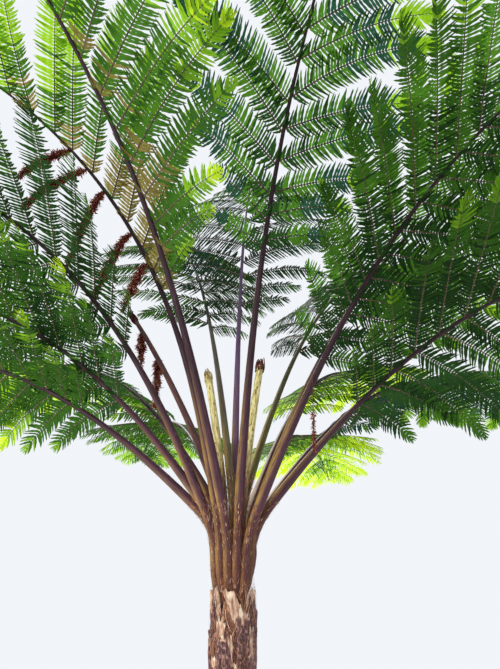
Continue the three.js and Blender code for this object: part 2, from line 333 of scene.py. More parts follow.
# Colours of the other woody finishes.
STUB = dict(shade=(0.34, 0.27, 0.08), pale=(0.74, 0.68, 0.32), scar=(0.16, 0.06, 0.02),
            foot=(0.2, 0.1, 0.035))
BARK = dict(pit=(0.035, 0.011, 0.015), fibre=(0.19, 0.078, 0.08), rust=(0.2, 0.075, 0.03),
            thread=(0.5, 0.3, 0.23), fleck=(0.02, 0.009, 0.008))
BASE_SKIN = dict(crack=(0.028, 0.009, 0.011), brown=(0.15, 0.06, 0.058), stain=(0.19, 0.07, 0.03),
                 pale=(0.36, 0.19, 0.16), pit=(0.022, 0.008, 0.011))
BASE_INSIDE = dict(shade=(0.24, 0.12, 0.075), peach=(0.6, 0.4, 0.29), edge=(0.8, 0.68, 0.55),
                   stain=(0.19, 0.075, 0.035), crack=(0.09, 0.03, 0.022))
DEAD_STALK = dict(shade=(0.035, 0.012, 0.014), brown=(0.13, 0.045, 0.04))
FIBRE_COLOURS = {
    "pinna_rib": ((0.03, 0.02, 0.018), (0.12, 0.07, 0.04)),
    "fibre_brown": ((0.06, 0.02, 0.018), (0.2, 0.08, 0.06)),
    "fibre_rust": ((0.2, 0.07, 0.03), (0.42, 0.19, 0.08)),
    "fibre_pale": ((0.4, 0.24, 0.17), (0.66, 0.46, 0.36)),
    "splinter_pale": ((0.3, 0.2, 0.08), (0.7, 0.62, 0.3)),
    "splinter_dark": ((0.05, 0.012, 0.012), (0.2, 0.06, 0.035)),
}

# A stem's own map: across it as on a round this thick, and metres along it.
STEM_MAP = 0.02

# Old stalk bases that show from the front: their turn from +X, lowest point, height and width,
# and the share of them that is torn open.
FRONT_BASES = [
    dict(turn=-77, low=1.6, tall=0.29, wide=0.056, torn=0.86),
    dict(turn=-160, low=1.72, tall=0.17, wide=0.05, torn=0.8),
    dict(turn=-28, low=1.74, tall=0.15, wide=0.045, torn=0.45),
    dict(turn=-38, low=1.42, tall=0.29, wide=0.055, torn=0.55),
    dict(turn=-123, low=1.5, tall=0.26, wide=0.04, torn=0.5),
    dict(turn=-100, low=1.46, tall=0.22, wide=0.045, torn=0.12),
]
FRONT_PROUD = 0.011

# The other old stalk bases, each a golden angle on from the last.
BASE_COUNT = 190
GOLDEN_ANGLE = 137.5
TURN_SPREAD = 6
BASE_LOWEST = 0.004
BASE_SPAN = 1.62
BASE_CROWDING = 0.9
BASE_TALL = (0.12, 0.3)
BASE_WIDE = (0.024, 0.044)
BASE_PROUD = (0.004, 0.01)
BASE_TORN = (0, 0.12, 0.4, 0.7)
BASE_TORN_ODDS = (0.3, 0.4, 0.2, 0.1)

# The shape of a base: its mesh and wall, how it widens and waves, its ragged top, how it stands out
# of the bark, and how its torn part is hollowed. CLEAR: room between the bark and what lies on it.
BASE_ROWS = 22
BASE_COLUMNS = 8
BASE_WALL = 0.007
BASE_SUNK = 0.4
BASE_FOOT = 0.5
BASE_FULL = 0.6
BASE_WAVE = 0.08
BASE_WAVES = 9
BASE_WAVE_SHIFT = 40
BASE_SLOPE = 0.16
BASE_TEETH = 0.07
BASE_STANDS = 0.3
BASE_EDGE = 0.35
BASE_LIP = 0.01
BASE_LIP_SHARES = (0.3, 1)
BASE_HOLLOW = 0.006
TORN_LEAST = 0.01
TORN_TEETH = 0.2
TORN_EDGE = (-0.1, 0.9)
TORN_SIDES = 0.35
CLEAR = 0.001

# Loose fibres, scales on the stalks' feet and splinters on broken tops: how many, the lowest and
# highest of their sizes or the spread of their turns, and the shares of their looks. Fibres also
# have their mesh, their taper, and the part of an arch that they follow.
FIBRE_STEPS = 5
FIBRE_TAPER = 0.75
FIBRE_PART = (0.15, 0.9)
FIBRES = dict(count=4200, low=(0.005, 1.86), tall=(0.03, 0.13), slope=0.4, bend=0.5,
              off=(0.001, 0.012), width=0.0016, odds=(0.45, 0.4, 0.15))
SCALES = dict(count=900, span=(-0.21, 0.3), crowding=1.5, spread=0.7, lift=(2, 26),
              long=(0.01, 0.03), wide=(0.002, 0.004), odds=(0.5, 0.35, 0.15))
SPLINTERS = dict(count=90, below=0.03, scatter=0.02, inwards=(0.3, 1.1), flare=(-0.15, 0.4),
                 long=(0.03, 0.075), wide=(0.005, 0.012))

# A scale's corners from its foot to its tip, and its two faces.
SCALE_POINTS = np.array([[0, -0.5, 0], [0, 0.5, 0], [0.5, 0.45, 0.05], [0.5, -0.45, 0.05],
                         [1, 0.06, 0.16], [1, -0.06, 0.16]])
SCALE_FACES = np.array([[0, 3, 2, 1], [3, 5, 4, 2]])

# Sockets of the colour mixing node, whose names repeat.
MIX_SHARE = 0
MIX_A = 6
MIX_B = 7
MIX_RESULT = 2

# The upright, and ways near it that no pinna's rib runs along.
UP = np.array([0, 0, 1.0])
RIB_OVER = np.array([0.3, 0.2, 1.0])
ROPE_OVER = np.array([0.2, 0.1, 1.0])
ROPE_OVER_SPREAD = 0.1

rng = np.random.default_rng(11)


def mix(a, b, share):
    return a + (b - a) * share


def smooth(x, low, high):
    t = np.clip((np.asarray(x, float) - low) / (high - low), 0, 1)
    return t * t * (3 - 2 * t)


# Materials


class Value:
    """A shader socket that Python sums can use: each sum adds a Math node."""

    def __init__(self, look, socket):
        self.look = look
        self.socket = socket

    def sum(self, operation, a, b):
        return self.look.node("ShaderNodeMath", dict(operation=operation), {0: a, 1: b})

    def __add__(self, other):
        return self.sum("ADD", self, other)

    __radd__ = __add__

    def __mul__(self, other):
        return self.sum("MULTIPLY", self, other)

    __rmul__ = __mul__

    def __rsub__(self, other):
        return self.sum("SUBTRACT", other, self)

    def above(self, low, high):
        """0 below low, 1 above high, and smooth between them."""
        return self.look.node("ShaderNodeMapRange", dict(interpolation_type="SMOOTHSTEP"), {
            "Value": self, "From Min": low, "From Max": high,
        })


class Look:
    """One material, and the way its nodes are added."""

    def __init__(self, name, shine=0.5, on_stem=False):
        self.on_stem = on_stem
        self.material = bpy.data.materials.new(name)
        self.material.use_nodes = True
        self.tree = self.material.node_tree
        self.shader = self.tree.nodes["Principled BSDF"]
        self.shader.inputs["Specular IOR Level"].default_value = shine

    def node(self, kind, settings=None, inputs=None, output=0):
        made = self.tree.nodes.new(kind)
        for key, value in (settings or {}).items():
            setattr(made, key, value)
        for key, value in (inputs or {}).items():
            self.feed(made.inputs[key], value)
        return Value(self, made.outputs[output])

    def feed(self, socket, value):
        if isinstance(value, Value):
            self.tree.links.new(value.socket, socket)
        elif isinstance(value, tuple) and socket.type == "RGBA":
            socket.default_value = (*value, 1)
        else:
            socket.default_value = value

    def blend(self, share, a, b):
        """Colour a turning into colour b as share goes from 0 to 1."""
        inputs = {MIX_SHARE: share, MIX_A: a, MIX_B: b}
        return self.node("ShaderNodeMix", dict(data_type="RGBA"), inputs, output=MIX_RESULT)

    def layers(self, colour, *others):
        """A colour with others laid over it in turn, each as a pair of its share and itself."""
        for share, other in others:
            colour = self.blend(share, colour, other)
        return colour

    def carried(self, name, output="Fac"):
        """What a piece carries under that name at each of its points."""
        return self.node("ShaderNodeAttribute", dict(attribute_name=name), output=output)

    def where(self):
        """Object coordinates, or the stem's own map: X aside, Y above, Z metres along."""
        if self.on_stem:
            return self.carried("stem", "Vector")
        return self.node("ShaderNodeTexCoord", output="Object")

    def part(self, axis):
        """One number of those coordinates."""
        return self.node("ShaderNodeSeparateXYZ", None, {"Vector": self.where()}, output=axis)

    def noise(self, squeeze, scale, detail, rough):
        """Noise on those coordinates, squeezed along each axis."""
        where = self.node("ShaderNodeMapping", None, {"Vector": self.where(), "Scale": squeeze})
        return self.node("ShaderNodeTexNoise", None, {
            "Vector": where, "Scale": scale, "Detail": detail, "Roughness": rough,
        })

    def finish(self, colour, rough, bump=None, height=None, strength=None):
        self.feed(self.shader.inputs["Base Color"], colour)
        self.feed(self.shader.inputs["Roughness"], rough)
        if bump is not None:
            normal = self.node("ShaderNodeBump", None, {
                "Height": bump, "Distance": height, "Strength": strength,
            })
            self.feed(self.shader.inputs["Normal"], normal)
        return self.material

    def let_light_through(self, colour, share):
        """Mixes in light that comes through from behind."""
        through = self.node("ShaderNodeBsdfTranslucent", None, {"Color": colour})
        mixed = self.node("ShaderNodeMixShader", None, {
            0: share, 1: Value(self, self.shader.outputs[0]), 2: through,
        })
        self.tree.links.new(mixed.socket, self.tree.nodes["Material Output"].inputs["Surface"])
        return self.material


def leaf_look(name, colour, glow, through=LEAF_THROUGH):
    look = Look(name, shine=0.12)
    look.finish(colour, rough=0.6)
    return look.let_light_through(glow, through)


def shade(colour, share):
    return tuple(min(1, part * share) for part in colour)


def stalk_look(name, foot, middle, upper):
    """Satin skin with long streaks, painted sunlight as gold on its sunny side, with a faint broken line
    down each side and a scurfy foot."""
    look = Look("stalk_" + name, shine=0.16, on_stem=True)
    streaks = look.noise((1, 1, 0.06), scale=170, detail=4, rough=0.6)
    clouds = look.noise((1, 1, 0.25), scale=26, detail=3, rough=0.55)
    dashes = look.noise((0.3, 0.3, 1), scale=52, detail=2, rough=0.5)
    warts = look.noise((1, 1, 0.6), scale=330, detail=2, rough=0.5)
    along = look.part("Z")
    aside = look.part("X") * (1 / STEM_MAP)
    line = (aside * aside).above(0.93, 0.99) * dashes.above(0.5, 0.6)
    foot_part = 1 - (along + clouds * 0.5).above(0.12, 0.5)
    groove = (aside * aside).above(0.2, 0.7) * 0.85 + 0.15
    scurf = warts.above(0.47, 0.57) * foot_part * groove
    skin = look.layers(
        middle,
        ((along + clouds * 0.7).above(0.7, 1.6), upper),
        ((1 - (along + clouds).above(0.35, 0.95)) * 0.6, foot),
        # Painted sunlight: gold where the foot faces the sunny side.
        (look.carried("sunny") * (clouds.above(0.3, 0.6) * 0.5 + 0.45), SUNLIT_GOLD),
        (streaks.above(0.5, 0.72) * 0.3, shade(middle, 2.4)),
        (streaks.above(0.5, 0.34) * 0.6, shade(upper, 0.5)),
        (line * 0.3, LINE_COLOUR),
        (foot_part * 0.45, FOOT_COLOUR),
        (scurf * 0.8, SCURF_COLOUR),
        (warts.above(0.42, 0.34) * foot_part * 0.8, PIT_COLOUR),
    )
    rough = streaks * 0.2 + scurf * 0.2 + 0.48
    bump = streaks + warts * 0.5 + line * 0.5
    return look.finish(skin, rough=rough, bump=bump, height=0.0014, strength=0.7)


def stub_look():
    """Pale yellow green with scars, and a brown foot."""
    look = Look("stub", on_stem=True)
    streaks = look.noise((1, 1, 0.1), scale=150, detail=4, rough=0.6)
    scars = look.noise((1, 1, 0.5), scale=70, detail=3, rough=0.6)
    skin = look.layers(
        STUB["shade"],
        (streaks.above(0.38, 0.62), STUB["pale"]),
        (scars.above(0.57, 0.63) * 0.9, STUB["scar"]),
        (1 - (look.part("Z") + streaks * 0.5).above(0.3, 0.95), STUB["foot"]),
    )
    return look.finish(skin, rough=0.6, bump=streaks + scars, height=0.0018, strength=0.7)


def bark_look():
    """Matted brown fibre with a purple cast, dark flecks and paler threads."""
    look = Look("bark")
    threads = look.noise((1, 1, 0.2), scale=120, detail=5, rough=0.7)
    mats = look.noise((1, 1, 0.45), scale=26, detail=4, rough=0.6)
    flecks = look.noise((1, 1, 0.6), scale=95, detail=3, rough=0.6)
    skin = look.layers(
        BARK["pit"],
        (threads.above(0.36, 0.64), BARK["fibre"]),
        (mats.above(0.5, 0.62) * 0.6, BARK["rust"]),
        (threads.above(0.58, 0.7) * 0.65, BARK["thread"]),
        (flecks.above(0.55, 0.63) * 0.9, BARK["fleck"]),
    )
    return look.finish(skin, rough=0.9, bump=threads + flecks * 0.6, height=0.005, strength=0.9)


def base_look():
    """Old stalk bases: purple brown skin with long cracks, and a peach inside where it is torn."""
    look = Look("old_base")
    cracks = look.noise((1, 1, 0.06), scale=130, detail=4, rough=0.65)
    fibres = look.noise((1, 1, 0.05), scale=260, detail=3, rough=0.6)
    stains = look.noise((1, 1, 0.35), scale=30, detail=4, rough=0.6)
    edge = look.noise((1, 1, 0.3), scale=120, detail=3, rough=0.6)
    mats = look.noise((1, 1, 0.55), scale=105, detail=3, rough=0.65)
    torn = look.carried("torn")
    skin = look.layers(
        BASE_SKIN["crack"],
        (cracks.above(0.36, 0.62), BASE_SKIN["brown"]),
        (stains.above(0.56, 0.66) * 0.5, BASE_SKIN["stain"]),
        (mats.above(0.54, 0.6) * 0.75, BASE_SKIN["pale"]),
        (mats.above(0.47, 0.4) * 0.85, BASE_SKIN["pit"]),
    )
    inside = look.layers(
        BASE_INSIDE["shade"],
        (fibres.above(0.36, 0.62), BASE_INSIDE["peach"]),
        (torn.above(0.86, 1.0) * 0.6, BASE_INSIDE["edge"]),
        (stains.above(0.5, 0.64) * 0.8, BASE_INSIDE["stain"]),
        (cracks.above(0.44, 0.36) * 0.7, BASE_INSIDE["crack"]),
    )
    colour = look.blend((torn + edge * 0.5).above(0.62, 0.74), skin, inside)
    bump = cracks + fibres * 0.4 + mats * 0.6
    return look.finish(colour, rough=0.8, bump=bump, height=0.0035, strength=0.9)


def fibre_look(name):
    """Dry fibre, streaked from its dark colour to its pale one."""
    look = Look(name)
    streaks = look.noise((1, 1, 0.2), scale=60, detail=3, rough=0.6)
    return look.finish(look.blend(streaks.above(0.35, 0.65), *FIBRE_COLOURS[name]), rough=0.85)


def dead_stalk_look():
    look = Look("dead_stalk", on_stem=True)
    streaks = look.noise((1, 1, 0.08), scale=160, detail=4, rough=0.65)
    skin = look.blend(streaks.above(0.35, 0.68), DEAD_STALK["shade"], DEAD_STALK["brown"])
    return look.finish(skin, rough=0.75, bump=streaks, height=0.003, strength=0.8)


def floor_look():
    look = Look("floor")
    grain = look.noise((1, 1, 1), scale=3, detail=3, rough=0.5)
    return look.finish(look.blend(grain, *FLOOR_COLOURS), rough=0.9)


# Meshes


def add_piece(name, points, faces, materials, face_materials=None, stem=None, numbers=None,
              smooth_faces=True):
    """A piece from arrays: points, faces of equally many sides, its materials, its stem map, and
    more numbers that its materials read at each point."""
    mesh = bpy.data.meshes.new(name)
    faces = np.asarray(faces, np.int32)
    count, sides = faces.shape
    mesh.vertices.add(len(points))
    mesh.vertices.foreach_set("co", np.asarray(points, np.float32).ravel())
    mesh.loops.add(count * sides)
    mesh.loops.foreach_set("vertex_index", faces.ravel())
    mesh.polygons.add(count)
    mesh.polygons.foreach_set("loop_start", np.arange(0, count * sides, sides, dtype=np.int32))
    for material in materials:
        mesh.materials.append(material)
    if face_materials is not None:
        mesh.polygons.foreach_set("material_index", np.asarray(face_materials, np.int32))
    mesh.polygons.foreach_set("use_smooth", np.full(count, smooth_faces))
    if stem is not None:
        mapped = mesh.attributes.new("stem", "FLOAT_VECTOR", "POINT")
        mapped.data.foreach_set("vector", np.asarray(stem, np.float32).ravel())
    for key, values in (numbers or {}).items():
        kept = mesh.attributes.new(key, "FLOAT", "POINT")
        kept.data.foreach_set("value", np.asarray(values, np.float32).ravel())
    mesh.update(calc_edges=True)
    mesh.validate()
    piece = bpy.data.objects.new(name, mesh)
    bpy.context.scene.collection.objects.link(piece)
    return piece


def start_model(add, **sizes):
    """Adds a primitive with nothing else selected, and opens it for editing."""
    bpy.ops.object.select_all(action="DESELECT")
    add(**sizes)
    bpy.ops.object.mode_set(mode="EDIT")
    return bpy.context.object


def pick(piece, kind, wanted):
    """Selects the wanted corners (VERT) or edges (EDGE) of an open model, and nothing else."""
    bpy.ops.mesh.select_mode(type=kind)
    bpy.ops.mesh.select_all(action="DESELECT")
    shape = bmesh.from_edit_mesh(piece.data)
    for part in shape.verts if kind == "VERT" else shape.edges:
        part.select = wanted(part)
    shape.select_flush_mode()
    bmesh.update_edit_mesh(piece.data)


def take_model(piece):
    """Closes a model, gives its points and faces as arrays, and removes it."""
    bpy.ops.object.mode_set(mode="OBJECT")
    points = np.array([corner.co for corner in piece.data.vertices])
    faces = np.array([list(face.vertices) for face in piece.data.polygons])
    bpy.data.objects.remove(piece)
    return points, faces


def strip_model(cells, outline, bend, lift):
    """A strip from x=0 to x=1: its width by outline, bent sideways and down, its edges lifted."""
    piece = start_model(bpy.ops.mesh.primitive_grid_add, x_subdivisions=cells,
                        y_subdivisions=2, size=1, location=(0.5, 0, 0))
    for row in range(cells + 1):
        x = row / cells
        pick(piece, "VERT", lambda corner: abs(corner.co.x + 0.5 - x) < CLOSE)
        bpy.ops.transform.resize(value=(1, max(NARROWEST, outline(row, x)), 1))
        bpy.ops.transform.translate(value=(0, bend[0] * x * x, bend[1] * x * x))
    pick(piece, "VERT", lambda corner: abs(corner.co.y - bend[0] * (corner.co.x + 0.5) ** 2) > CLOSE)
    bpy.ops.transform.translate(value=(0, 0, lift))
    points, faces = take_model(piece)
    points[:, 0] += 0.5
    return points, faces


def leaflet_outline(row, x):
    """Width of a leaflet's row: it narrows to a point, and every second row cuts in."""
    notch = 1.0 if row % 2 else LEAFLET_NOTCH
    foot = mix(LEAFLET_FOOT, 1, min(1, x / LEAFLET_FOOT_END))
    return notch * foot * (1 - x ** LEAFLET_FULLNESS) ** LEAFLET_TAPER


def withered_outline(row, x):
    return mix(WITHERED_END, 1, math.sin(math.pi * mix(*WITHERED_PART, x)))


def mirrored(model):
    points, faces = model
    return points * (1, -1, 1), faces[:, ::-1]


def runs_along(edge):
    """Whether an edge of a cylinder one high runs along it."""
    return abs(edge.verts[0].co.z - edge.verts[1].co.z) > 0.5


def cut_cylinder(sides, cuts, ends):
    """A cylinder one high with its middle at the origin, cut across, and open for editing."""
    piece = start_model(bpy.ops.mesh.primitive_cylinder_add, vertices=sides, radius=1, depth=1,
                        end_fill_type=ends)
    pick(piece, "EDGE", runs_along)
    bpy.ops.mesh.subdivide(number_cuts=cuts)
    bpy.ops.mesh.select_mode(type="VERT")
    return piece


def stem_model():
    """A straight stem from z=0 to z=1 with a shallow groove along its upper side."""
    piece = cut_cylinder(STALK_SIDES, STALK_CUTS, "NOTHING")
    pick(piece, "VERT", lambda corner: math.hypot(corner.co.x, corner.co.y - 1) < GROOVE_WIDTH)
    bpy.ops.transform.translate(value=(0, -GROOVE_DEPTH, 0))
    points, faces = take_model(piece)
    points[:, 2] += 0.5
    return points, faces


def tile(model, origins, along, across, normal, lengths, widths):
    """Copies a model to many places: its x, y and z become along, across and normal."""
    points, faces = model
    local = points[None, :, :]
    grown = (origins[:, None, :]
             + along[:, None, :] * (local[..., 0:1] * lengths[:, None, None])
             + across[:, None, :] * (local[..., 1:2] * widths[:, None, None])
             + normal[:, None, :] * (local[..., 2:3] * lengths[:, None, None]))
    offsets = (np.arange(len(origins)) * len(points))[:, None, None]
    return grown.reshape(-1, 3), (faces[None] + offsets).reshape(-1, faces.shape[1])


def loft(rings):
    """Points and quads of a closed solid through rings with the same even number of corners."""
    rows, sides = rings.shape[:2]
    faces = rib_faces(rows, sides).tolist()
    last = (rows - 1) * sides
    for j in range(sides // 2 - 1):
        strip = (j, j + 1, sides - 2 - j, sides - 1 - j)
        faces.append(strip[::-1])
        faces.append([last + k for k in strip])
    return rings.reshape(-1, 3), np.array(faces)


def rib_faces(rows, sides):
    """Quads of a tube with that many rows and sides."""
    i = np.arange(rows - 1)[:, None] * sides
    j = np.arange(sides)[None, :]
    k = (j + 1) % sides
    return np.stack([i + j, i + k, i + sides + k, i + sides + j], axis=-1).reshape(-1, 4)


def tube(places, radii, sides=4):
    """A thin tube along places."""
    ahead = unit(np.gradient(places, axis=0))
    level = unit(np.cross(ahead, RIB_OVER))
    over = np.cross(level, ahead)
    turns = -np.arange(sides) * 2 * math.pi / sides
    ring = towards(level[:, None, :], over[:, None, :], turns[None, :, None])
    points = places[:, None, :] + ring * np.asarray(radii)[:, None, None]
    return points.reshape(-1, 3), rib_faces(len(places), sides)


def join(parts):
    """One list of points and one of faces from many."""
    points = []
    faces = []
    total = 0
    for part_points, part_faces in parts:
        points.append(part_points)
        faces.append(part_faces + total)
        total += len(part_points)
    return np.concatenate(points), np.concatenate(faces)


def unit(vectors):
    return vectors / np.linalg.norm(vectors, axis=-1, keepdims=True)


def towards(way, other, angle):
    """That way, turned by an angle towards another at right angles to it."""
    return way * np.cos(angle) + other * np.sin(angle)


def square_to(along, way):
    """That way, made square to along."""
    return unit(way - along * np.sum(way * along, axis=1, keepdims=True))


def flat_on(over, along):
    """The ways across and out of strips that run along and lie flat under over."""
    across = unit(np.cross(over, along))
    return across, np.cross(along, across)


def follow(knots, places, v):
    """Places at shares v of a curve given by its places at the knots."""
    return np.column_stack([np.interp(v, knots, places[:, k]) for k in range(3)])


def direction(knots, places, v, reach):
    """Directions of that curve, each taken over a short reach."""
    return unit(follow(knots, places, np.minimum(v + reach, 1)) - follow(knots, places, v - reach))


# Spines


def level_way(degrees):
    """The level way that many degrees from +X towards +Y."""
    turn = math.radians(degrees)
    return np.array([math.cos(turn), math.sin(turn), 0])


def spine(frond, s):
    """Places along a frond's spine, s metres from its seat, and the ways on, left and up there."""
    s = np.atleast_1d(np.asarray(s, float))
    out = level_way(frond["heading"])
    seat = level_way(frond["seat"])

    def tilt(d):
        turned = 1 - (1 - np.clip(d / TURN, 0, 1)) ** 2
        bent = np.clip(d / frond["length"], 0, None) ** ARCH_POWER
        return np.radians(frond["lean"]) * turned + np.radians(frond["arch"]) * bent

    steps = np.arange(0, frond["length"] + 2 * STEP, STEP)
    middle = tilt(steps[:-1] + STEP / 2)
    reach, height = [np.interp(s, steps, np.concatenate([[0], np.cumsum(run * STEP)]))
                     for run in (np.sin(middle), np.cos(middle))]
    below = np.minimum(s, 0)
    inset = SHEATH_INSET * (below / SHEATH) ** 2
    point = np.array([CROWN_X, 0, frond["rise"]]) + seat * (frond["ring"] - inset)[:, None]
    point = point + out * reach[:, None] + UP * (height + below)[:, None]
    angle = tilt(np.maximum(s, 0))[:, None]
    forward = towards(UP, out, angle)
    flat = np.array([-out[1], out[0], 0])
    over = np.cross(forward, flat)
    roll = math.radians(frond.get("roll", 0))
    return point, forward, towards(flat, over, roll), towards(over, -flat, roll)


def bare_length(frond):
    """Length of the frond's stalk, up to its first leaflets."""
    if frond.get("stub") or frond.get("dead"):
        return frond["length"]
    return frond["length"] * frond.get("bare", BARE)


def rib_radius(frond, s):
    """Radius of the stalk and of the rib that runs on through the blade."""
    full = frond["radius"]
    bare = bare_length(frond)
    rest = max(frond["length"] - bare, STEP)
    below = full * mix(SEAT_SHARE, SHEATH_SHARE, -s / SHEATH)
    turning = full * mix(SEAT_SHARE, 1, s / TURN)
    end = STUB_END_SHARE if frond.get("stub") else STALK_END_SHARE
    stalk = full * mix(1, end, (s - TURN) / (bare - TURN))
    blade = mix(full * STALK_END_SHARE, TIP_RIB, (s - bare) / rest)
    return np.select([s < 0, s < TURN, s <= bare], [below, turning, stalk], blade)


def blade_half(frond, u):
    """Half the width of a blade at a share u of its length."""
    swell = mix(BLADE_START, 1, smooth(u, 0, BLADE_SWELL))
    taper = np.maximum(BLADE_TIP, (1 - np.clip(u, 0, 1) ** BLADE_FULLNESS) ** BLADE_POINT)
    return frond["half"] * swell * taper


def on_stalk(frond, s, turn, share=1):
    """Places on a stalk, s metres up and turned round it, at a share of its radius, and the ways
    out and on there."""
    point, forward, side, up = spine(frond, s)
    out = towards(side, up, turn)
    return point + out * (rib_radius(frond, s)[:, None] * share), out, forward


def all_fronds():
    fronds = []
    for i, row in enumerate(OUTER):
        fronds.append(dict(row, ring=OUTER_RING, seat=360 * i / len(OUTER), radius=STALK_RADIUS))
    for i, row in enumerate(INNER):
        seat = INNER_FIRST_SEAT + 360 * i / len(INNER)
        fronds.append(dict(row, ring=INNER_RING, seat=seat, radius=INNER_STALK_RADIUS))
    return fronds


# Stalks


def make_stalk(frond, model, skin):
    """A stalk's skin, bent along the frond's spine with its groove on the upper side."""
    points, faces = model
    s = mix(-SHEATH_SHOWN, frond["length"] - TIP_ROOM, points[:, 2])
    point, forward, side, up = spine(frond, s)
    swollen = 1 + SWELLING * np.exp(-((s - SWELLING_PLACE) / SWELLING_REACH) ** 2)
    radius = rib_radius(frond, np.maximum(s, -SHEATH)) * swollen
    aside = side * points[:, 0:1]
    above = up * points[:, 1:2]
    places = (point + aside * STEM_MAP + above * STEM_MAP) * LUMP_SCALE
    lumps = np.array([noise.noise(Vector(at)) for at in places])
    rough = SKIN_LUMPS + FOOT_LUMPS * (1 - smooth(s, *FOOT_FADE))
    radius = (radius * (1 + rough * lumps))[:, None]
    bent = point + aside * radius + above * radius
    stem = np.column_stack([points[:, :2] * STEM_MAP, s])
    # Painted sunlight: how much gold each point gets, by how it faces the sunny side and how low on the
    # stalk it is.
    facing = (aside + above) @ np.array(SUNNY_SIDE)
    sunny = smooth(facing, *SUNLIT_GOLD_ACROSS) * (1 - smooth(s, *SUNLIT_GOLD_ALONG))
    node = ("stub_" if frond.get("stub") else "stalk_") + frond["name"]
    piece = add_piece(node + "_skin", bent, faces, [skin], stem=stem, numbers={"sunny": sunny})
    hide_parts(node)
    return piece


# Blades


def leaflet_length(pinna_length):
    return LEAFLET_LENGTH * min(1, (pinna_length / PINNA_FULL) ** SHORT_PINNA_POWER)


def pinna_angle(u):
    return math.radians(mix(PINNA_ANGLE, PINNA_ANGLE_TIP, u))


def pinna_places(frond):
    """How far along the rib each pair of pinnae stands, so that neighbours just touch."""
    start = bare_length(frond)
    end = frond["length"]
    places = []
    s = start + PINNA_FIRST
    while s < end - PINNA_LAST:
        places.append(s)
        u = (s - start) / (end - start)
        length = float(blade_half(frond, u)) / math.sin(pinna_angle(u))
        s += PINNA_TOUCH * leaflet_length(length) * (1 - PINNA_CROWDING * u * u)
    return places


def pinna_curve(frond, s, hand):
    """The rib of one pinna on the left (hand 1) or right (hand -1): its places and directions."""
    start = bare_length(frond)
    u = (s - start) / (frond["length"] - start)
    proud = PINNA_PROUD * float(smooth(u, *PROUD_START) * (1 - smooth(u, *PROUD_END)))
    half = float(blade_half(frond, u)) * (1 + proud) * rng.uniform(*PINNA_SIZES)
    angle = pinna_angle(u) + math.radians(rng.uniform(*PINNA_ANGLES))
    point, forward, side, up = (v[0] for v in spine(frond, s))
    length = half / math.sin(angle)
    v = np.linspace(0, 1, PINNA_STEPS)[:, None]
    lift = rng.uniform(*PINNA_LIFTS)
    bend = PINNA_BEND + rng.uniform(*PINNA_BENDS)
    ahead = math.cos(angle) * length * (v * (1 + bend) - bend * v * v)
    across = hand * math.sin(angle) * length * v
    drop = (SIDE_DROP + lift) * half * v ** SIDE_CURVE
    sag = rng.uniform(*PINNA_SAGS) * length * v ** 3
    places = point + forward * ahead + side * across - up * drop - UP * sag
    return places, up, length, u


def leaflet_rows(places, up, length):
    """Frames of the leaflets along both sides of one pinna: the left row and the right row."""
    pairs = max(FEWEST_PAIRS, int(length / LEAFLET_GAP))
    v = (np.arange(pairs) + FIRST_PAIR) / (pairs + LAST_ROOM)
    knots = np.linspace(0, 1, len(places))
    at = follow(knots, places, v)
    rib = direction(knots, places, v, RIB_REACH)
    over = square_to(rib, up)
    twist = math.radians(rng.normal(0, TWIST_SPREAD))
    over = towards(over, np.cross(rib, over), twist)
    sideways = np.cross(over, rib)
    size = leaflet_length(length) * mix(FIRST_SHARE, 1, np.minimum(1, v / FIRST_PART))
    size = np.maximum(SHORTEST_LEAFLET, size * (1 - v ** ROW_FULLNESS) ** ROW_TAPER)
    hang = rng.normal(LEAFLET_HANG, HANG_SPREAD)
    rows = []
    for hand in (1, -1):
        turned = mix(LEAFLET_ANGLE, LEAFLET_ANGLE_TIP, smooth(v, *ANGLE_CHANGE))
        lean = np.radians(turned + rng.normal(0, LEAN_SPREAD, pairs))[:, None]
        droop = np.radians(rng.normal(hang, DROOP_SPREAD, pairs))[:, None]
        along = towards(towards(rib, sideways * hand, lean), -over, droop)
        flat, level = flat_on(over, along)
        roll = np.radians(rng.normal(0, ROLL_SPREAD, pairs))[:, None]
        across = towards(flat, level, roll)
        normal = towards(level, -flat, roll)
        lengths = size * rng.uniform(*LEAFLET_SIZES, pairs)
        width = min(LEAFLET_WIDTH, LEAFLET_OVERLAP * length / pairs)
        widths = width * np.minimum(1, NARROW_SHARE + lengths / FULL_WIDTH_LENGTH)
        rows.append((at, along, across, normal, lengths, widths))
    return rows, v


def leaflet_tones(frond, u, v):
    """Leaf colours along one pinna, stepping from painted shade to painted sunlight: the frond's first
    tone inside the blade, its last at the tips.
    """
    tones = [list(TONES).index(tone) for tone in frond["tones"].split()]
    # Tones step from painted shade inside the blade to painted sunlight at the tips.
    where = (TONE_RIB * u + (1 - TONE_RIB) * v) * len(tones)
    where = where + rng.normal(0, PINNA_TONE_SPREAD) + rng.normal(0, LEAFLET_TONE_SPREAD, len(v))
    return np.array(tones)[np.clip(where, 0, len(tones) - 1).astype(int)]


